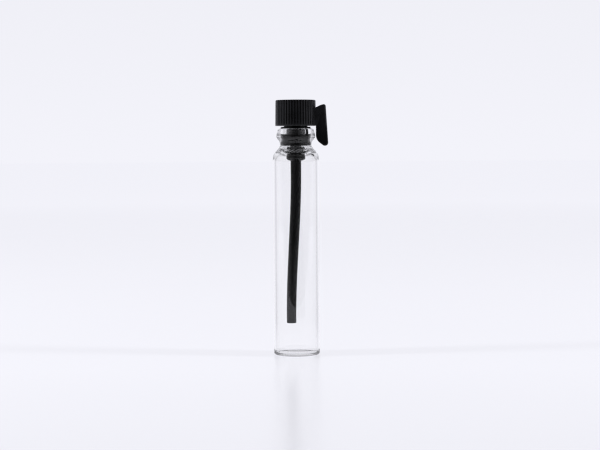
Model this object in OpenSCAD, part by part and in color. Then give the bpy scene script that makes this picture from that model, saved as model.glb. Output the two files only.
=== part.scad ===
// Glass sample vial, 8 mm across, with a push-in stopper that carries an applicator rod.
// Millimetres. The foot stands on z = 0, the axis is +Z, the thumb tab of the stopper is on +X.

/* [Glass body] */
// Outside diameter of the tube
body_d = 8; // [7.6:0.2:14]
// Height of the glass, foot to rim
glass_height = 39.7; // [32:0.1:70]
// Thickness of the tube wall
wall = 0.5; // [0.35:0.05:0.9]
// Thickness of the floor
floor_thick = 0.65; // [0.5:0.05:1.2]
// Rounding of the heel
heel_r = 0.4; // [0.2:0.05:0.7]
// Rounding inside, where the floor meets the wall
floor_r = 0.6; // [0.3:0.05:1]
// Depth of the shallow hollow under the foot
punt_depth = 0.12; // [0.05:0.01:0.25]
// Width of the flat ring that the foot stands on
foot_ring = 0.7; // [0.4:0.1:1.2]

/* [Glass neck] */
// Diameter of the bore in the neck
bore_d = 3.6; // [3.4:0.05:3.9]
// Outside diameter at the waist of the neck
waist_d = 5.5; // [5.3:0.1:6]
// Depth below the rim at which the waist meets the shoulder
waist_drop = 3.35; // [3.3:0.05:4.5]
// How far the bead stands out from the waist
bead_height = 0.63; // [0.55:0.01:0.8]
// Depth of the widest part of the bead below the rim
bead_drop = 1.55; // [1.3:0.05:1.6]
// Slope of the shoulder from level
shoulder_slope = 50; // [40:1:55]
// Rounding from the tube into the shoulder
shoulder_r = 1.6; // [0.8:0.1:2]
// Length of the bore
bore_length = 4.25; // [4:0.05:4.4]

/* [Stopper head] */
// Diameter of the grip at its lower edge
head_d = 7.1; // [6.7:0.05:7.5]
// Height of the grip
head_height = 4.5; // [3.6:0.1:6]
// Draft of the grip, degrees
head_draft = 0.8; // [0.3:0.1:1.5]
// Number of grip ribs
ribs = 45; // [30:1:54]
// Radius of the groove between two ribs
groove_r = 0.13; // [0.08:0.01:0.15]
// Height of the plain edge under the ribs
plain_edge = 0.25; // [0.15:0.05:0.5]

/* [Thumb tab] */
// Width of the tab
tab_width = 2; // [1.6:0.1:3]
// Depth of the upper end of the tab below the top of the grip
tab_top_drop = 0.7; // [0.4:0.05:1.2]
// Length of the inner face below the grip, before it is cut away towards the tip
tab_reach = 2.45; // [1.8:0.05:3]
// Slope of the cut towards the tip, from level
tab_cut = 37.5; // [30:0.5:45]
// Reach of the tab from the axis at its upper end
tab_out_top = 5.25; // [4.9:0.05:5.5]
// Reach of the tab from the axis at its tip, before that is rounded
tab_out_low = 5.75; // [5.5:0.05:6.2]
// Gap between the tab and the glass bead
tab_gap = 0.22; // [0.2:0.02:0.5]

/* [Stopper plug] */
// Diameter of the flange that sits on the rim
flange_d = 4.2; // [4:0.1:4.8]
// Height of the flange
flange_height = 0.14; // [0.1:0.01:0.4]
// Depth of the collar that fills the mouth of the bore
collar_drop = 0.6; // [0.4:0.05:0.8]
// Depth below the rim at which the sealing band starts
seal_drop = 1.42; // [1.2:0.02:1.6]
// Height of the sealing band
seal_height = 1.98; // [1.5:0.02:2.1]
// Diameter of the plug in its two grooves
core_d = 2; // [1.9:0.1:2.4]
// Height of the groove above the thin lip
groove_upper = 0.68; // [0.4:0.02:0.8]
// Height of the thin lip
lip_height = 0.17; // [0.14:0.01:0.3]
// Height of the groove under the thin lip
groove_lower = 0.2; // [0.15:0.05:0.5]
// Height of the nose below the lower groove
nose_height = 1.47; // [1.4:0.01:2]
// Play between the sealing band and the bore, at the radius
seal_clear = 0.02; // [0.01:0.01:0.05]
// Gap between the stem above the sealing band and the bore, at the radius
stem_clear = 0.15; // [0.1:0.05:0.5]
// Play between the lip or the nose and the bore, at the radius
nose_clear = 0.12; // [0.06:0.01:0.16]
// Play between the flange and the rim
seat_clear = 0.03; // [0.01:0.01:0.08]

/* [Applicator rod] */
// Diameter of the rod at the nose
rod_d = 1.86; // [1.4:0.02:2]
// Diameter of the rod at its end
rod_end_d = 1.68; // [1.2:0.02:1.8]
// Distance of the rod's end from the foot
rod_end = 5.5; // [3:0.1:12]
// Sideways sweep of the rod
rod_bend = 0.95; // [0:0.05:1]
// Straight length under the nose, before the sweep
rod_straight = 2.4; // [1:0.1:5]
// Straight length at the end, after the sweep
rod_tail = 1.3; // [0.5:0.1:4]
// Play between the bent rod and the bore as it is drawn out, at the radius
rod_clear = 0.04; // [0.03:0.01:0.1]

/* [Hidden] */
$fn = 96;
arc_step = 10;
punt_steps = 6;
body_r = body_d / 2;
inner_r = body_r - wall;
bore_r = bore_d / 2;
waist_r = waist_d / 2;
bead_r = waist_r + bead_height;
rim_z = glass_height;

// Roundings of the glass neck
rim_r = 0.5;
bead_round = 0.7;
under_bead_r = 1;
under_waist_r = 0.7;
mouth_r = 0.12;
bore_end_r = 0.3;
ceiling_r = 1.4;

// Flanks of the bead from the axis, above and below its widest part, and the corner where they meet
flank_up = 14;
flank_low = 42;
flank_mid = (flank_up - flank_low) / 2;
flank_out = bead_round / cos((flank_up + flank_low) / 2);
bead_x = bead_r - bead_round + flank_out * cos(flank_mid);
bead_z = rim_z - bead_drop + flank_out * sin(flank_mid);

// Corners of the shoulder, outside and inside, before they are rounded: the ceiling is domed, and never
// rises above the end of the bore
waist_z = rim_z - waist_drop;
shoulder_z = waist_z - (body_r - waist_r) * tan(shoulder_slope);
bore_end = rim_z - bore_length;
ceiling_lift = 0.14;
ceiling_fall = 0.3;
ceiling_z = min(shoulder_z + ceiling_lift, bore_end - ceiling_fall);
dome_share = 0.85;
dome_r = min(ceiling_r, dome_share * (inner_r - bore_r));

// Levels of the stopper
seat_z = rim_z + seat_clear;
grip_z = seat_z + flange_height;
grip_top = grip_z + head_height;
collar_z = rim_z - collar_drop;
seal_top = rim_z - seal_drop;
seal_low = seal_top - seal_height;
lip_top = seal_low - groove_upper;
lip_low = lip_top - lip_height;
nose_top = lip_low - groove_lower;
nose_low = nose_top - nose_height;
embed = 0.4;

// Grip
grip_r = head_d / 2;
grip_top_r = grip_r - head_height * tan(head_draft);
grip_top_edge = 0.18;
grip_low_edge = 0.09;

// Tab: corners of its side view, with the slopes of its arched top, and roundings that follow its depth
tab_root_depth = 1;
tab_root_lift = 0.16;
tab_ease = 10;
tab_rise = 29;
tab_in = bead_r + tab_gap;
tab_root = grip_r - tab_root_depth;
tab_root_z = grip_z + tab_root_lift;
tab_cut_z = grip_z - tab_reach;
tab_tip_z = tab_cut_z - (tab_out_low - tab_in) * tan(tab_cut);
tab_top = grip_top - tab_top_drop;
tab_mid = (tab_in + tab_out_top) / 2;
tab_mid_z = tab_top - (tab_out_top - tab_mid) * tan(tab_ease);
tab_end_z = tab_mid_z - (tab_mid - tab_root) * tan(tab_rise);
toe_share = 0.8;
top_share = 0.195;
arch_share = 1.4;
tab_toe_r = toe_share * (tab_out_low - tab_in);
tab_top_r = top_share * (tab_out_top - tab_in);
tab_arch_r = arch_share * (tab_out_top - tab_in);
tab_tip_r = 0.55;
tab_root_r = 0.15;

// Roundings of the plug
nose_round = 0.95;
nose_edge = 0.1;
lip_edge = 0.06;
seal_edge = 0.06;
flange_edge = 0.08;

// Rod
rod_sides = 24;
rod_rings = 16;
rod_edge = 0.12;
rod_edge_step = 30;
rod_from = nose_low - rod_straight;
rod_to = rod_end + rod_tail;
rod_sway = min(rod_bend, bore_r - rod_end_d / 2 - rod_clear);

function unit(v) = v / norm(v);
function spin(v, a) = [v[0] * cos(a) - v[1] * sin(a), v[0] * sin(a) + v[1] * cos(a)];

// Arc of radius r that rounds the corner b on the way from a to c
function arc(a, b, c, r) =
    let (
        u = unit(a - b),
        v = unit(c - b),
        half = acos(u * v) / 2,
        mid = b + unit(u + v) * r / sin(half),
        start = b + u * r / tan(half) - mid,
        sweep = (u[0] * v[1] - u[1] * v[0] < 0 ? 1 : -1) * (180 - 2 * half),
        n = ceil(abs(sweep) / arc_step)
    )
    [for (k = [0 : n]) mid + spin(start, sweep * k / n)];

// Closed outline through [x, z, rounding] points, each corner rounded by its own radius
function rounded(pts) =
    let (n = len(pts), flat = [for (p = pts) [p[0], p[1]]])
    [for (i = [0 : n - 1])
        each pts[i][2] > 0
            ? arc(flat[(i + n - 1) % n], flat[i], flat[(i + 1) % n], pts[i][2])
            : [flat[i]]];

// Half section of the glass: out along the foot, up the outside to the rim, down the inside to the floor
module glass_section() {
    punt_r = body_r - heel_r - foot_ring;
    ball_r = (punt_r * punt_r + punt_depth * punt_depth) / (2 * punt_depth);
    punt_turn = asin(punt_r / ball_r);
    punt = [
        for (k = [0 : punt_steps])
            let (a = punt_turn * k / punt_steps)
            [ball_r * sin(a), punt_depth - ball_r * (1 - cos(a)), 0]
    ];
    polygon(rounded(concat(punt, [
        [body_r, 0, heel_r],
        [body_r, shoulder_z, shoulder_r],
        [waist_r, waist_z, under_waist_r],
        [waist_r, bead_z - (bead_x - waist_r) / tan(flank_low), under_bead_r],
        [bead_x, bead_z, bead_round],
        [bead_x - (rim_z - bead_z) * tan(flank_up), rim_z, rim_r],
        [bore_r, rim_z, mouth_r],
        [bore_r, bore_end, bore_end_r],
        [inner_r, ceiling_z, dome_r],
        [inner_r, floor_thick, floor_r],
        [0, floor_thick, 0]
    ])));
}

module glass_vial() {
    color([0.85, 0.9, 0.92, 0.4])
        rotate_extrude() glass_section();
}

// Grip: a drafted round block with a groove between each two ribs
module grip() {
    difference() {
        rotate_extrude() polygon(rounded([
            [0, grip_z, 0],
            [grip_r, grip_z, grip_low_edge],
            [grip_top_r, grip_top, grip_top_edge],
            [0, grip_top, 0]
        ]));
        for (i = [0 : ribs - 1])
            rotate((i + 0.5) * 360 / ribs)
                translate([grip_r, 0, grip_z])
                    rotate([0, -head_draft, 0])
                        translate([0, 0, plain_edge])
                            cylinder(h = head_height, r = groove_r);
    }
}

// Tab: its side view turned about the axis, so that it hugs the neck, and cut to width
module tab() {
    intersection() {
        rotate(180) rotate_extrude() polygon(rounded([
            [tab_root, tab_root_z, 0],
            [tab_in, tab_root_z, tab_root_r],
            [tab_in, tab_cut_z, tab_toe_r],
            [tab_out_low, tab_tip_z, tab_tip_r],
            [tab_out_top, tab_top, tab_top_r],
            [tab_mid, tab_mid_z, tab_arch_r],
            [tab_root, tab_end_z, 0]
        ]));
        translate([0, -tab_width / 2, tab_tip_z])
            cube([max(tab_out_low, tab_out_top), tab_width, tab_top - tab_tip_z]);
    }
}

// Flange, collar, stem, sealing band, thin lip and nose, turned about the axis
module plug() {
    seal_r = bore_r - seal_clear;
    stem_r = bore_r - stem_clear;
    nose_r = bore_r - nose_clear;
    rotate_extrude() polygon(rounded([
        [0, nose_low, 0],
        [nose_r, nose_low, nose_round],
        [nose_r, nose_top, nose_edge],
        [core_d / 2, nose_top, 0],
        [core_d / 2, lip_low, 0],
        [nose_r, lip_low, lip_edge],
        [nose_r, lip_top, lip_edge],
        [core_d / 2, lip_top, 0],
        [core_d / 2, seal_low, 0],
        [seal_r, seal_low, seal_edge],
        [seal_r, seal_top, seal_edge],
        [stem_r, seal_top, 0],
        [stem_r, collar_z, 0],
        [seal_r, collar_z, seal_edge],
        [seal_r, seat_z, 0],
        [flange_d / 2, seat_z, flange_edge],
        [flange_d / 2, grip_z + embed, 0],
        [0, grip_z + embed, 0]
    ]));
}

// Centre line of the rod at level z: straight, then one smooth sweep to the side, then straight
function smooth(t) = t * t * (3 - 2 * t);
function rod_x(z) = -rod_sway * smooth(min(1, max(0, (rod_from - z) / (rod_from - rod_to))));

// Radius of the rod at level z
function rod_r(z) = (rod_end_d + (rod_d - rod_end_d) * (z - rod_end) / (nose_low - rod_end)) / 2;

// Rings of the rod as [level, inset]: a small rounding at its end, then even steps up into the nose
rod_levels = concat(
    [for (a = [0 : rod_edge_step : 90]) [rod_end + rod_edge * (1 - cos(a)), rod_edge * (1 - sin(a))]],
    [for (i = [1 : rod_rings])
        [rod_end + rod_edge + (nose_low + embed - rod_end - rod_edge) * i / rod_rings, 0]]
);

module rod() {
    n = rod_sides;
    m = len(rod_levels);
    points = [
        for (lv = rod_levels)
            for (k = [0 : n - 1])
                let (r = rod_r(lv[0]) - lv[1], a = k * 360 / n)
                [rod_x(lv[0]) + r * cos(a), r * sin(a), lv[0]]
    ];
    sides = [
        for (j = [0 : m - 2])
            for (k = [0 : n - 1])
                let (q = (k + 1) % n)
                [j * n + k, (j + 1) * n + k, (j + 1) * n + q, j * n + q]
    ];
    low = [for (k = [0 : n - 1]) k];
    top = [for (k = [n - 1 : -1 : 0]) (m - 1) * n + k];
    polyhedron(points, concat([low], sides, [top]));
}

// One moulding: grip, tab, plug and rod
module stopper() {
    color([0.06, 0.06, 0.07]) {
        grip();
        tab();
        plug();
        rod();
    }
}

glass_vial();
stopper();
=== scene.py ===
import math
import bmesh
import bpy
import numpy as np
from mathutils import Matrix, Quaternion, Vector


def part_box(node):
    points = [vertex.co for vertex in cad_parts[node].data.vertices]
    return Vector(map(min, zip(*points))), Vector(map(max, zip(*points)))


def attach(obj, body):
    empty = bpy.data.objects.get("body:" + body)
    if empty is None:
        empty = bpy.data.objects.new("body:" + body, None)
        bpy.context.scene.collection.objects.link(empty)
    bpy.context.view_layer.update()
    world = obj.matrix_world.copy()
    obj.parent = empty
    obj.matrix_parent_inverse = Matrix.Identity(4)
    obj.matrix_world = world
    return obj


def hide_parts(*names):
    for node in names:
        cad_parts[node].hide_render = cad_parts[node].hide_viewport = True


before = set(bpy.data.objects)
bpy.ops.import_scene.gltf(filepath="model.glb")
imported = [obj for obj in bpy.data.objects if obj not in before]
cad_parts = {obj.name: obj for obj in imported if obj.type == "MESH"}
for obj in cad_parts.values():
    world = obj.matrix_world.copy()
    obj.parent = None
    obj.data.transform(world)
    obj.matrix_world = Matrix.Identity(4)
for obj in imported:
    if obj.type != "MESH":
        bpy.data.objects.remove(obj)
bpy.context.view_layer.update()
mm = 0.001
paleWhite = "#f3f3fa"   # light of the walls and of the table


# sRGB hex to linear colour: the sRGB curve undone channel by channel
def linearColour(hexText):
    c = np.array([int(hexText[i:i + 2], 16) for i in (1, 3, 5)]) / 255
    return (*np.where(c <= 0.04045, c / 12.92, ((c + 0.055) / 1.055) ** 2.4), 1.0)


# one node with its settings, its fixed inputs and its links
def addNode(tree, kind, settings=None, values=None, links=None):
    node = tree.nodes.new(kind)
    for key, value in (settings or {}).items():
        setattr(node, key, value)
    for key, value in (values or {}).items():
        node.inputs[key].default_value = value
    for key, socket in (links or {}).items():
        tree.links.new(socket, node.inputs[key])
    return node


# outline through (x, z, rounding) corners: each corner becomes an arc that touches both of its sides,
# turned from the first touching point in even steps
def roundedOutline(corners, step=3.0):
    pts = np.array([c[:2] for c in corners], float)
    out = []
    for i, (_, _, radius) in enumerate(corners):
        here, before, after = pts[i], pts[i - 1], pts[(i + 1) % len(pts)]
        if radius <= 0:
            out.append(here[None])
            continue
        u = (before - here) / np.linalg.norm(before - here)
        v = (after - here) / np.linalg.norm(after - here)
        half = math.acos(np.clip(u @ v, -1, 1)) / 2
        middle = here + (u + v) / np.linalg.norm(u + v) * radius / math.sin(half)
        start = here + u * radius / math.tan(half) - middle
        side = 1 if u[0] * v[1] - u[1] * v[0] < 0 else -1
        turn = side * (math.pi - 2 * half)
        a = np.linspace(0, turn, max(2, int(abs(math.degrees(turn)) / step)) + 1)
        out.append(middle + np.stack([start[0] * np.cos(a) - start[1] * np.sin(a),
                                      start[0] * np.sin(a) + start[1] * np.cos(a)], 1))
    return np.concatenate(out)


# long straight runs get more points, closer together near their ends (half a cosine wave)
def spaced(outline, gap):
    out = [outline[:1]]
    for a, b in zip(outline[:-1], outline[1:]):
        n = int(np.linalg.norm(b - a) / gap) + 1
        even = np.linspace(0, 1, n + 1)[1:]
        t = (1 - np.cos(np.linspace(0, math.pi, n + 1)[1:])) / 2 if n > 2 else even
        out.append(a + (b - a) * t[:, None])
    return np.concatenate(out)


# closed shell from rings of points: quads between neighbouring rings,
# and each end either a fan to a pole or one flat face
def closedShell(name, rings, poles=None):
    rows, cols = rings.shape[:2]
    i, j = np.meshgrid(np.arange(rows - 1), np.arange(cols), indexing="ij")
    k = (j + 1) % cols
    corners = [i * cols + j, i * cols + k, (i + 1) * cols + k, (i + 1) * cols + j]
    quads = np.stack(corners, -1).reshape(-1, 4)
    points = rings.reshape(-1, 3)
    j = np.arange(cols)
    k = (j + 1) % cols
    last = (rows - 1) * cols
    if poles is None:
        ends = [j[::-1].tolist(), (last + j).tolist()]
    else:
        points = np.concatenate([points, poles])
        low = np.stack([np.full(cols, rows * cols), k, j], 1)
        high = np.stack([last + j, last + k, np.full(cols, rows * cols + 1)], 1)
        ends = low.tolist() + high.tolist()
    mesh = bpy.data.meshes.new(name)
    mesh.from_pydata((points * mm).tolist(), [], quads.tolist() + ends)
    mesh.update()
    piece = bpy.data.objects.new(name, mesh)
    bpy.context.scene.collection.objects.link(piece)
    return piece


# rings of a turned form: radius times cosine and sine of the turn about the axis, at each level
def turnedRings(outline, cols, shiftX=0.0):
    a = np.arange(cols) * 2 * math.pi / cols
    r, z = outline[:, :1], outline[:, 1:]
    level = np.broadcast_to(z, (len(r), cols))
    return np.stack([r * np.cos(a) + shiftX, r * np.sin(a), level], -1)


# smooth shading that breaks at edges sharper than the angle
def smoothFaces(piece, angle):
    mesh = piece.data
    mesh.polygons.foreach_set("use_smooth", np.ones(len(mesh.polygons), bool))
    mesh.set_sharp_from_angle(angle=math.radians(angle))


# Borosilicate glass: drawn tube, flame-formed neck. Clear, with very faint long draw lines.
def borosilicateGlass():
    look = {
        "tint": "#fefefe",
        "ior": 1.474,
        "drawLineMm": 0.9,      # width of a draw line round the tube
        "drawLengthMm": 400.0,  # length of a draw line along the tube
        "drawDepthMm": 0.00005,
    }
    material = bpy.data.materials.new("borosilicateGlass")
    material.use_nodes = True
    tree = material.node_tree
    tree.nodes.clear()
    across, along = 1 / (look["drawLineMm"] * mm), 1 / (look["drawLengthMm"] * mm)
    place = addNode(tree, "ShaderNodeTexCoord")
    stretch = addNode(tree, "ShaderNodeMapping", values={"Scale": (across, across, along)},
                      links={"Vector": place.outputs["Object"]})
    lines = addNode(tree, "ShaderNodeTexNoise", values={"Scale": 1.0, "Detail": 1.0},
                    links={"Vector": stretch.outputs["Vector"]})
    bump = addNode(tree, "ShaderNodeBump", values={"Strength": 1.0, "Distance": look["drawDepthMm"] * mm},
                   links={"Height": lines.outputs["Fac"]})
    shader = addNode(tree, "ShaderNodeBsdfPrincipled",
                     values={"Base Color": linearColour(look["tint"]), "Roughness": 0.0, "IOR": look["ior"],
                             "Transmission Weight": 1.0},
                     links={"Normal": bump.outputs["Normal"]})
    addNode(tree, "ShaderNodeOutputMaterial", links={"Surface": shader.outputs["BSDF"]})
    return material


# Low-density polyethylene, black, as moulded: a soft sheen, fine tool grain, and a painted highlight: the
# crests of the ribs are coloured lighter, in cloudy patches, and given more sheen.
def blackPolyethylene():
    look = {
        "deep": "#070708",
        "crestHighlight": "#242427",
        # painted highlight: the lighter colour given to the crests of the ribs
        "ior": 1.51,
        "sheenLow": 0.26,       # in the grooves and on the plug
        "sheenHigh": 0.45,      # more sheen on the rib crests, under the painted highlight
        "roughLow": 0.2,
        "roughHigh": 0.32,
        "cloudTop": 0.7,        # cloudiness at which the roughness is highest
        "grainMm": 0.16,        # real grain is about 0.02 mm, drawn coarser so that it shows
        "grainDepthMm": 0.003,
        "grainShare": 0.5,
        "patchMm": 1.4,         # cloudiness of the sheen
    }
    material = bpy.data.materials.new("blackPolyethylene")
    material.use_nodes = True
    tree = material.node_tree
    tree.nodes.clear()
    place = addNode(tree, "ShaderNodeTexCoord").outputs["Object"]
    grain = addNode(tree, "ShaderNodeTexNoise", values={"Scale": 1 / (look["grainMm"] * mm), "Detail": 2.0},
                    links={"Vector": place})
    patch = addNode(tree, "ShaderNodeTexNoise", values={"Scale": 1 / (look["patchMm"] * mm), "Detail": 3.0},
                    links={"Vector": place})
    litCrests = addNode(tree, "ShaderNodeAttribute", {"attribute_name": "crestHighlight"})
    satin = addNode(tree, "ShaderNodeAttribute", {"attribute_name": "satin"})
    # painted highlight: the crests of the ribs are mixed towards the lighter colour, in cloudy patches
    litCrestPatches = addNode(tree, "ShaderNodeMath", {"operation": "MULTIPLY"},
                   links={0: litCrests.outputs["Fac"], 1: patch.outputs["Fac"]})
    colour = addNode(tree, "ShaderNodeMix", {"data_type": "RGBA"},
                     values={6: linearColour(look["deep"]), 7: linearColour(look["crestHighlight"])},
                     links={0: litCrestPatches.outputs["Value"]})
    # only the grip and the tab are grained and cloudy: the plug and the rod come out of a polished mould
    cloud = addNode(tree, "ShaderNodeMath", {"operation": "MULTIPLY"},
                    links={0: satin.outputs["Fac"], 1: patch.outputs["Fac"]})
    rough = addNode(tree, "ShaderNodeMapRange", links={"Value": cloud.outputs["Value"]},
                    values={"From Max": look["cloudTop"],
                            "To Min": look["roughLow"], "To Max": look["roughHigh"]})
    height = addNode(tree, "ShaderNodeMath", {"operation": "MULTIPLY"},
                     links={0: satin.outputs["Fac"], 1: grain.outputs["Fac"]})
    bump = addNode(tree, "ShaderNodeBump", links={"Height": height.outputs["Value"]},
                   values={"Strength": look["grainShare"], "Distance": look["grainDepthMm"] * mm})
    sheen = addNode(tree, "ShaderNodeMapRange", links={"Value": litCrests.outputs["Fac"]},
                    values={"To Min": look["sheenLow"], "To Max": look["sheenHigh"]})
    shader = addNode(tree, "ShaderNodeBsdfPrincipled", values={"IOR": look["ior"]},
                     links={"Base Color": colour.outputs[2], "Roughness": rough.outputs["Result"],
                            "Specular IOR Level": sheen.outputs["Result"], "Normal": bump.outputs["Normal"]})
    addNode(tree, "ShaderNodeOutputMaterial", links={"Surface": shader.outputs["BSDF"]})
    return material


# Glass tube, one turned form: foot, wall, shoulder, waist, bead and rim outside,
# then bore, ceiling, wall and floor inside. The foot is hollowed by a shallow ball.
def glassTube():
    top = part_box("glass_vial")[1]
    rimLower = 0.29   # the flange of the stopper lies on a rim that is lower than in the solids
    tube = {
        "bodyR": top.y / mm, "rimZ": top.z / mm - rimLower, "wall": 0.5, "floorThick": 0.36, "floorR": 0.55,
        "heelR": 0.4, "puntDepth": 0.06, "puntPoints": 16, "footRing": 0.7,
        "boreR": 1.8, "boreLength": 3.96, "boreEndR": 0.3, "mouthR": 0.12,
        "ceilingR": 1.4, "ceilingLift": 0.14,
        "waistR": 2.75, "waistDrop": 3.06, "underWaistR": 0.7, "shoulderSlope": 50, "shoulderR": 1.6,
        "beadR": 3.38, "beadDrop": 1.26, "beadRound": 0.9, "underBeadR": 1.0, "flankUp": 14, "flankLow": 38,
        "rimR": 0.35, "poleR": 0.15, "longestRun": 0.8, "columns": 192, "sharpAngle": 60,
    }
    t = tube
    up, low = math.radians(t["flankUp"]), math.radians(t["flankLow"])
    # the flanks of the bead meet at a corner outside its rounding
    out = t["beadRound"] / math.cos((up + low) / 2)
    beadX = t["beadR"] - t["beadRound"] + out * math.cos((up - low) / 2)
    beadZ = t["rimZ"] - t["beadDrop"] + out * math.sin((up - low) / 2)
    innerR = t["bodyR"] - t["wall"]
    waistZ = t["rimZ"] - t["waistDrop"]
    shoulderZ = waistZ - (t["bodyR"] - t["waistR"]) * math.tan(math.radians(t["shoulderSlope"]))
    puntR = t["bodyR"] - t["heelR"] - t["footRing"]
    ballR = (puntR ** 2 + t["puntDepth"] ** 2) / (2 * t["puntDepth"])
    a = np.linspace(0, math.asin(puntR / ballR), t["puntPoints"])[1:]
    ball = np.stack([ballR * np.sin(a), t["puntDepth"] - ballR * (1 - np.cos(a))], 1)
    outline = roundedOutline([(x, z, 0) for x, z in ball] + [
        (t["bodyR"], 0, t["heelR"]),
        (t["bodyR"], shoulderZ, t["shoulderR"]),
        (t["waistR"], waistZ, t["underWaistR"]),
        (t["waistR"], beadZ - (beadX - t["waistR"]) / math.tan(low), t["underBeadR"]),
        (beadX, beadZ, t["beadRound"]),
        (beadX - (t["rimZ"] - beadZ) * math.tan(up), t["rimZ"], t["rimR"]),
        (t["boreR"], t["rimZ"], t["mouthR"]),
        (t["boreR"], t["rimZ"] - t["boreLength"], t["boreEndR"]),
        (innerR, shoulderZ + t["ceilingLift"], t["ceilingR"]),
        (innerR, t["floorThick"], t["floorR"]),
        (t["poleR"], t["floorThick"], 0),
    ])
    rings = turnedRings(spaced(outline, t["longestRun"]), t["columns"])
    tubePiece = closedShell("vialGlass", rings, [(0, 0, t["puntDepth"]), (0, 0, t["floorThick"])])
    smoothFaces(tubePiece, t["sharpAngle"])
    tubePiece.data.materials.append(borosilicateGlass())
    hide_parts("glass_vial")
    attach(tubePiece, "vial")
    print("glass tube", len(tubePiece.data.polygons), "faces")


# Grip of the stopper: a drafted round block. Between each two ribs its radius loses a half-round groove,
# the root of the groove's radius squared less the distance from its middle squared.
def gripShell(s):
    r, topR = s["gripR"], s["gripR"] - s["gripHeight"] * math.tan(math.radians(s["gripDraft"]))
    low, top = s["gripZ"], s["gripZ"] + s["gripHeight"]
    outline = roundedOutline([
        (s["gripPoleR"], low, 0), (r, low, s["gripLowEdge"]),
        (topR, top, s["gripTopEdge"]), (s["gripPoleR"], top, 0),
    ], s["gripArcStep"])
    outline = spaced(outline, s["gripRun"])
    pitch = 2 * math.pi / s["ribs"]
    half = s["grooveR"] / r
    inGroove = half * np.sin(np.linspace(-0.5, 0.5, s["grooveColumns"] + 1) * math.pi)
    onRib = np.linspace(half, pitch - half, s["ribColumns"] + 2)[1:-1]
    one = np.concatenate([inGroove, onRib])
    a = ((np.arange(s["ribs"]) + 0.5) * pitch)[:, None] + one
    d = np.broadcast_to(np.abs(one), a.shape).ravel() * r
    a = a.ravel()
    cut = np.sqrt(np.clip(s["grooveR"] ** 2 - d ** 2, 0, None))
    z, rr = outline[:, 1], outline[:, 0]
    # the groove runs out above the plain edge, and fades towards the middle of the flat top
    side = np.clip((z - low - s["plainEdge"]) / s["runOut"], 0, 1)
    fade = np.clip((rr / topR - s["topFadeFrom"]) / s["topFadeOver"], 0, 1)
    share = side * side * (3 - 2 * side) * fade
    rad = rr[:, None] - share[:, None] * cut
    rings = np.stack([rad * np.cos(a), rad * np.sin(a), np.broadcast_to(z[:, None], rad.shape)], -1)
    return closedShell("stopperGrip", rings, [(0, 0, low), (0, 0, top)])


# Plug and rod: one turned form whose centre line sweeps sideways. The shift is the bend times
# three q squared less two q cubed, q being the share of the way down the rod.
def plugShell(s):
    rim, top = s["rimZ"], s["gripZ"] + s["embed"]
    flangeLow, flangeTop = rim - s["flangeDrop"], rim + s["flangeRise"]
    sealTop = rim - s["sealDrop"]
    sealLow = sealTop - s["sealHeight"]
    lipTop = sealLow - s["upperGroove"]
    lipLow = lipTop - s["lipHeight"]
    noseTop = lipLow - s["lowerGroove"]
    noseLow = noseTop - s["noseHeight"]
    core, hollow, nook = s["coreR"], s["grooveCornerR"], s["stemCornerR"]
    # the round end of the nose starts where its circle meets the rod
    ballR = s["noseRound"]
    a = np.linspace(math.asin((s["rodR"] - s["noseR"] + ballR) / ballR), math.pi / 2, s["nosePoints"])
    ball = np.stack([s["noseR"] - ballR + ballR * np.sin(a), noseLow + ballR * (1 - np.cos(a)), 0 * a], 1)
    outline = roundedOutline([
        (s["rodPoleR"], s["rodEnd"], 0),
        (s["rodEndR"], s["rodEnd"], s["rodEdge"]),
        *ball,
        (s["noseR"], noseTop, s["noseEdge"]),
        (core, noseTop, hollow), (core, lipLow, hollow),
        (s["noseR"], lipLow, s["lipEdge"]), (s["noseR"], lipTop, s["lipEdge"]),
        (core, lipTop, hollow), (core, sealLow, hollow),
        (s["sealR"], sealLow, s["sealEdge"]), (s["sealR"], sealTop, s["sealEdge"]),
        (s["stemR"], sealTop, nook), (s["stemR"], flangeLow, nook),
        (s["flangeR"], flangeLow, s["flangeEdge"]), (s["flangeR"], flangeTop, s["flangeEdge"]),
        (s["neckR"], flangeTop, s["neckCornerR"]), (s["neckR"], top, 0),
        (s["plugPoleR"], top, 0),
    ], s["plugArcStep"])
    outline = spaced(outline, s["plugRun"])
    start, end = noseLow - s["rodStraight"], s["rodEnd"] + s["rodTail"]
    q = np.clip((start - outline[:, 1:]) / (start - end), 0, 1)
    sway = -s["rodBend"] * q * q * (3 - 2 * q)
    rings = turnedRings(outline, s["plugColumns"], sway)
    return closedShell("stopperPlug", rings, [(-s["rodBend"], 0, s["rodEnd"]), (0, 0, top)])


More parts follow.
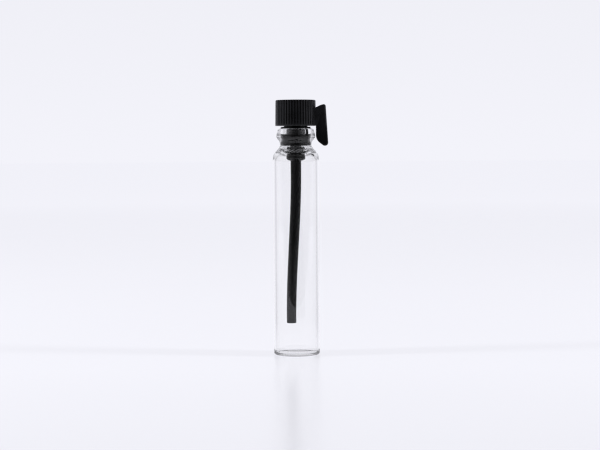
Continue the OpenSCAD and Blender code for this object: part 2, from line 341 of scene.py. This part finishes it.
# Thumb tab: the side outline, drawn in towards both flat sides by a quarter circle, so that every edge is
# round. Each point then goes back on a circle about the axis, so that the tab hugs the neck.
def tabShell(s):
    rise, cut = math.tan(math.radians(s["tabRise"])), math.tan(math.radians(s["tabCut"]))
    outTop, outLow, inR, root = s["tabOutTop"], s["tabOutLow"], s["tabIn"], s["tabRoot"]
    mid = (inR + outTop) / 2
    midZ = s["tabTop"] - (outTop - mid) * math.tan(math.radians(s["tabEase"]))
    line = roundedOutline([
        (inR, s["tabRootZ"], s["tabRootR"]),
        (inR, s["tabCutZ"], s["tabToeR"]),
        (outLow, s["tabCutZ"] - (outLow - inR) * cut, s["tabTipR"]),
        (outTop, s["tabTop"], s["tabTopR"]),
        (mid, midZ, s["tabArchR"]),
        (root, midZ - (mid - root) * rise, 0),
        (root, s["tabRootZ"], 0),
    ], s["tabArcStep"])
    line = spaced(np.concatenate([line, line[:1]]), s["tabRun"])[:-1]
    along = np.roll(line, -1, 0) - np.roll(line, 1, 0)
    inward = np.stack([-along[:, 1], along[:, 0]], 1) / np.linalg.norm(along, axis=1, keepdims=True)
    a = np.radians(np.linspace(0, 90, s["tabEdgePoints"]))
    half, edge = s["tabWidth"] / 2, s["tabEdge"]
    y = half - edge * (1 - np.cos(a))
    between = np.linspace(half - edge, edge - half, s["tabFlatPoints"] + 2)[1:-1]
    y = np.concatenate([y, between, -y[::-1]])[:, None]
    drawn = edge * (1 - np.sin(a))
    inset = np.concatenate([drawn, np.zeros(s["tabFlatPoints"]), drawn[::-1]])
    xz = line[None] + inward[None] * inset[:, None, None]
    x = np.sqrt(xz[..., 0] ** 2 - y ** 2)
    rings = np.stack([x, np.broadcast_to(y, x.shape), xz[..., 1]], -1)
    return closedShell("stopperTab", rings)


# One moulding: the three shells are joined into a single closed mesh
def stopperMoulding():
    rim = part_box("glass_vial")[1].z / mm
    seat = 0.17   # from the rim of the solids up to the grip
    gripZ = rim + seat
    gripHeight = 4.5
    stopper = {
        "rimZ": rim, "embed": 0.4, "mergeMm": 0.002, "sliverMm": 0.0002,
        "sharpAngle": 40, "flatShare": 0.9995,
        "gripZ": gripZ, "gripHeight": gripHeight, "gripR": 3.55, "gripDraft": 0.8,
        "gripLowEdge": 0.09, "gripTopEdge": 0.18, "gripPoleR": 0.3, "gripArcStep": 12, "gripRun": 0.3,
        "ribs": 45, "grooveR": 0.13, "plainEdge": 0.2, "runOut": 0.12, "crestLitDepth": 0.08,
        "topFadeFrom": 0.5, "topFadeOver": 0.4, "grooveColumns": 8, "ribColumns": 5,
        "flangeR": 2.62, "flangeEdge": 0.06, "flangeDrop": 0.28, "flangeRise": 0.01,
        "neckR": 2.1, "neckCornerR": 0.03, "stemR": 1.65, "stemCornerR": 0.05,
        "sealDrop": 1.42, "sealHeight": 1.98, "sealR": 1.804, "sealEdge": 0.02,
        "coreR": 1.0, "grooveCornerR": 0.06, "upperGroove": 0.68, "lowerGroove": 0.2,
        "lipHeight": 0.17, "lipEdge": 0.06,
        "noseR": 1.68, "noseHeight": 1.47, "noseRound": 0.95, "noseEdge": 0.1, "nosePoints": 16,
        "rodR": 0.93, "rodEndR": 0.84, "rodEnd": 5.5, "rodEdge": 0.12, "rodBend": 0.92,
        "rodStraight": 2.4, "rodTail": 1.3, "rodPoleR": 0.2,
        "plugPoleR": 0.3, "plugArcStep": 9, "plugRun": 0.7, "plugColumns": 96,
        "tabTop": gripZ + gripHeight - 0.7, "tabRootZ": gripZ + 0.16, "tabCutZ": gripZ - 2.45,
        "tabOutLow": 5.75, "tabOutTop": 5.25, "tabIn": 3.6, "tabRoot": 2.55, "tabWidth": 2.0,
        "tabRootR": 0.15, "tabToeR": 1.72, "tabTipR": 0.55, "tabTopR": 0.32, "tabArchR": 2.31,
        "tabEdge": 0.25, "tabRise": 29, "tabEase": 10, "tabCut": 37.5,
        "tabArcStep": 6, "tabRun": 0.4, "tabEdgePoints": 7, "tabFlatPoints": 3,
    }
    s = stopper
    piece = gripShell(s)
    for other in (plugShell(s), tabShell(s)):
        join = piece.modifiers.new("join", "BOOLEAN")
        join.operation, join.solver, join.object = "UNION", "EXACT", other
        done = bpy.data.meshes.new_from_object(piece.evaluated_get(bpy.context.evaluated_depsgraph_get()))
        piece.modifiers.clear()
        piece.data = done
        bpy.data.objects.remove(other)
    piece.name = piece.data.name = "stopperMoulding"
    # joining leaves a few faces of no area: points that all but touch become one
    work = bmesh.new()
    work.from_mesh(piece.data)
    bmesh.ops.remove_doubles(work, verts=work.verts, dist=s["mergeMm"] * mm)
    bmesh.ops.dissolve_degenerate(work, edges=work.edges, dist=s["sliverMm"] * mm)
    work.to_mesh(piece.data)
    work.free()
    mesh = piece.data
    mesh.materials.clear()
    smoothFaces(piece, s["sharpAngle"])
    # the flat sides of the tab and the flat ends stay flat
    normals = np.empty(len(mesh.polygons) * 3, np.float32)
    mesh.polygons.foreach_get("normal", normals)
    flat = np.abs(normals.reshape(-1, 3)[:, 1:]).max(1) > s["flatShare"]
    mesh.polygons.foreach_set("use_smooth", ~flat)
    # painted highlight share: 1 on the crests of the ribs and on the tab beside them, 0 in the grooves and
    # on the plug
    co = np.empty(len(mesh.vertices) * 3, np.float32)
    mesh.vertices.foreach_get("co", co)
    co = co.reshape(-1, 3) / mm
    onGrip = co[:, 2] > s["gripZ"]
    crest = s["gripR"] - (co[:, 2] - s["gripZ"]) * math.tan(math.radians(s["gripDraft"]))
    crestHighlight = np.clip((np.hypot(co[:, 0], co[:, 1]) - crest + s["crestLitDepth"]) / s["crestLitDepth"], 0, 1) * onGrip
    # satin: 1 on the grip and the tab, 0 on the plug and the rod
    satin = onGrip | (co[:, 0] > s["flangeR"])
    for name, values in (("crestHighlight", crestHighlight), ("satin", satin)):
        layer = mesh.attributes.new(name, "FLOAT", "POINT")
        layer.data.foreach_set("value", values.astype(np.float32))
    mesh.materials.append(blackPolyethylene())
    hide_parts("stopper")
    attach(piece, "stopper")
    print("stopper", len(mesh.polygons), "faces")


# White acrylic of the shooting table, glowing as if lit from below: a painted glow, an emission with no lamp
# under it, on a pale sheet that softly mirrors the foot of the vial.
# The lamps light only its middle, so its painted glow rises with the distance and falls towards the front.
# All but the camera see it dimmed all round, which draws the sides of the glass, and a little brighter
# behind the vial. Far away it has no gloss.
def whiteAcrylic():
    look = {
        "base": "#808084", "coat": 0.6, "coatRough": 0.22, "coatFrom": 150 * mm, "coatTo": 600 * mm,
        "glow": 0.81, "glowFar": 0.925, "farFrom": 50 * mm, "farTo": 800 * mm,
        "glowFront": 0.92, "frontFrom": -100 * mm, "frontTo": -20 * mm,
        "dimmed": 0.72, "closeFrom": 20 * mm, "closeTo": 60 * mm,      # right under the vial it isn't dimmed
        "lifted": 1.06, "turnFrom": 0.7, "turnTo": 0.95,               # cosines of the turn away from +Y
    }
    material = bpy.data.materials.new("whiteAcrylic")
    material.use_nodes = True
    tree = material.node_tree
    shader = tree.nodes["Principled BSDF"]
    shader.inputs["Base Color"].default_value = linearColour(look["base"])
    shader.inputs["Emission Color"].default_value = linearColour(paleWhite)
    shader.inputs["Specular IOR Level"].default_value = 0.0
    shader.inputs["Coat Roughness"].default_value = look["coatRough"]
    spot = addNode(tree, "ShaderNodeTexCoord").outputs["Object"]
    away = addNode(tree, "ShaderNodeVectorMath", {"operation": "LENGTH"}, links={0: spot}).outputs["Value"]
    deep = addNode(tree, "ShaderNodeSeparateXYZ", links={"Vector": spot}).outputs["Y"]
    behind = addNode(tree, "ShaderNodeMath", {"operation": "DIVIDE"}, links={0: deep, 1: away})
    direct = addNode(tree, "ShaderNodeLightPath").outputs["Is Camera Ray"]
    close = addNode(tree, "ShaderNodeMapRange", links={"Value": away},
                    values={"From Min": look["closeFrom"], "From Max": look["closeTo"],
                            "To Min": 1.0, "To Max": look["dimmed"]})
    around = addNode(tree, "ShaderNodeMath", {"operation": "MAXIMUM"},
                     links={0: direct, 1: close.outputs["Result"]})
    lift = addNode(tree, "ShaderNodeMapRange", links={"Value": direct},
                   values={"To Min": look["lifted"], "To Max": 1.0})
    share = addNode(tree, "ShaderNodeMapRange",
                    values={"From Min": look["turnFrom"], "From Max": look["turnTo"]},
                    links={"Value": behind.outputs["Value"], "To Min": around.outputs["Value"],
                           "To Max": lift.outputs["Result"]})
    far = addNode(tree, "ShaderNodeMapRange", links={"Value": away},
                  values={"From Min": look["farFrom"], "From Max": look["farTo"],
                          "To Min": look["glow"], "To Max": look["glowFar"]})
    front = addNode(tree, "ShaderNodeMapRange", links={"Value": deep},
                    values={"From Min": look["frontFrom"], "From Max": look["frontTo"],
                            "To Min": look["glowFront"], "To Max": 1.0})
    glow = addNode(tree, "ShaderNodeMath", {"operation": "MULTIPLY"},
                   links={0: far.outputs["Result"], 1: front.outputs["Result"]})
    glow = addNode(tree, "ShaderNodeMath", {"operation": "MULTIPLY"},
                   links={0: glow.outputs["Value"], 1: share.outputs["Result"]})
    coat = addNode(tree, "ShaderNodeMapRange", links={"Value": away},
                   values={"From Min": look["coatFrom"], "From Max": look["coatTo"],
                           "To Min": look["coat"], "To Max": 0.0})
    # painted light: the shaped glow drives the emission of the sheet
    tree.links.new(glow.outputs["Value"], shader.inputs["Emission Strength"])
    tree.links.new(coat.outputs["Result"], shader.inputs["Coat Weight"])
    return material


# Shooting table: one flat sheet in two parts
def shootingTable():
    table = {"half": 4.0, "frontEdge": -90 * mm, "level": -0.01 * mm}
    acrylic = whiteAcrylic()
    half, edge, z = table["half"], table["frontEdge"], table["level"]
    for name, front, back in (("floor", edge, half), ("floorInFront", -half, edge)):
        corners = [(-half, front, z), (half, front, z), (half, back, z), (-half, back, z)]
        mesh = bpy.data.meshes.new(name)
        mesh.from_pydata(corners, [], [(0, 1, 2, 3)])
        mesh.materials.append(acrylic)
        floor = bpy.data.objects.new(name, mesh)
        bpy.context.scene.collection.objects.link(floor)
    # only the camera sees the part in front: nothing white there is mirrored in the glass and the plastic
    floor.visible_glossy = floor.visible_transmission = floor.visible_diffuse = False
    print("shooting table")


# Room: pale walls that darken to either side, under a dark ceiling. The light from a direction is one smooth
# step along each axis, multiplied.
def roomLight():
    room = {
        "dark": 0.06, "darkFrom": -0.95, "darkTo": -0.5,   # share of the light left near the camera
        "left": 1.05, "right": 0.95, "leftRight": 0.8,
        "side": 0.3, "sideFrom": 0.3, "sideTo": 0.95,
        "above": 0.12, "aboveFrom": 0.5, "aboveTo": 0.75,
        "wallTop": 0.97, "wallHeight": 0.1,
    }
    world = bpy.data.worlds.new("room")
    bpy.context.scene.world = world
    world.use_nodes = True
    tree = world.node_tree
    sky = tree.nodes["Background"]
    sky.inputs["Color"].default_value = linearColour(paleWhite)
    # the room behind the camera is dark only for light that was mirrored or scattered on its way:
    # straight through the glass, from any side, it is pale
    path = addNode(tree, "ShaderNodeLightPath").outputs
    turned = addNode(tree, "ShaderNodeMath", {"operation": "ADD"},
                     links={0: path["Glossy Depth"], 1: path["Diffuse Depth"]})
    straight = addNode(tree, "ShaderNodeMath", {"operation": "LESS_THAN"}, values={1: 0.5},
                       links={0: turned.outputs["Value"]})
    dark = addNode(tree, "ShaderNodeMath", {"operation": "MAXIMUM"}, values={1: room["dark"]},
                   links={0: straight.outputs["Value"]})
    place = addNode(tree, "ShaderNodeTexCoord")
    parts = addNode(tree, "ShaderNodeSeparateXYZ", links={"Vector": place.outputs["Generated"]}).outputs
    aside = addNode(tree, "ShaderNodeMath", {"operation": "ABSOLUTE"}, links={0: parts["X"]})
    smooth = {"interpolation_type": "SMOOTHSTEP"}
    light = addNode(tree, "ShaderNodeMapRange", smooth,
                    values={"From Min": room["darkFrom"], "From Max": room["darkTo"], "To Max": 1.0},
                    links={"Value": parts["Y"], "To Min": dark.outputs["Value"]}).outputs["Result"]
    for way, start, end, low, high in (
            (parts["X"], -room["leftRight"], room["leftRight"], room["left"], room["right"]),
            (aside.outputs["Value"], room["sideFrom"], room["sideTo"], 1.0, room["side"]),
            (parts["Z"], room["aboveFrom"], room["aboveTo"], 1.0, room["above"])):
        step = addNode(tree, "ShaderNodeMapRange", smooth, links={"Value": way},
                       values={"From Min": start, "From Max": end, "To Min": low, "To Max": high})
        light = addNode(tree, "ShaderNodeMath", {"operation": "MULTIPLY"},
                        links={0: light, 1: step.outputs["Result"]}).outputs["Value"]
    # what the camera sees directly is a pale wall on every side, a little darker towards its top
    pale = addNode(tree, "ShaderNodeMapRange", links={"Value": parts["Z"]},
                   values={"From Max": room["wallHeight"], "To Min": 1.0, "To Max": room["wallTop"]})
    strength = addNode(tree, "ShaderNodeMix",
                       links={0: path["Is Camera Ray"], 2: light, 3: pale.outputs["Result"]})
    tree.links.new(strength.outputs[0], sky.inputs["Strength"])
    print("room light")


# A low lamp on either side draws the long faint shadows on the table
def sideLamps():
    lamps = {"aside": 420 * mm, "forward": -80 * mm, "height": 190 * mm, "size": 70 * mm, "power": 1.6}
    for name, side in (("lampLeft", -1), ("lampRight", 1)):
        data = bpy.data.lights.new(name, "AREA")
        data.energy, data.size = lamps["power"], lamps["size"]
        lamp = bpy.data.objects.new(name, data)
        lamp.location = side * lamps["aside"], lamps["forward"], lamps["height"]
        lamp.rotation_mode = "QUATERNION"
        lamp.rotation_quaternion = (-lamp.location).to_track_quat("-Z", "Y")
        lamp.visible_glossy = lamp.visible_transmission = False
        bpy.context.scene.collection.objects.link(lamp)
    print("side lamps")


# Camera as in the photograph: level with the neck of the vial, looking down by less than three degrees
def photoCamera():
    shot = {
        "place": (0.65 * mm, -280 * mm, 36 * mm), "pitch": 2.736, "roll": -0.36,
        "lens": 96.4, "sensor": 36.0, "clipNear": 0.01, "clipFar": 50,
    }
    data = bpy.data.cameras.new("photoCamera")
    camera = bpy.data.objects.new("photoCamera", data)
    bpy.context.scene.collection.objects.link(camera)
    pitch = math.radians(shot["pitch"])
    ahead = Vector((0, math.cos(pitch), -math.sin(pitch)))
    tilt = Quaternion((0, 0, 1), math.radians(shot["roll"]))
    camera.location = shot["place"]
    camera.rotation_mode = "QUATERNION"
    camera.rotation_quaternion = ahead.to_track_quat("-Z", "Y") @ tilt
    data.sensor_width, data.lens = shot["sensor"], shot["lens"]
    data.clip_start, data.clip_end = shot["clipNear"], shot["clipFar"]
    bpy.context.scene.camera = camera
    print("camera", shot["lens"], "mm lens")


glassTube()
stopperMoulding()
shootingTable()
roomLight()
sideLamps()
photoCamera()
bpy.context.scene.view_settings.view_transform = "Standard"
# light must be able to bounce on inside the thick glass of the neck
cycles = bpy.context.scene.cycles
cycles.max_bounces = 40
cycles.glossy_bounces = 32
cycles.transmission_bounces = 40
cycles.filter_width = 1.25   # edges as crisp as in the photograph
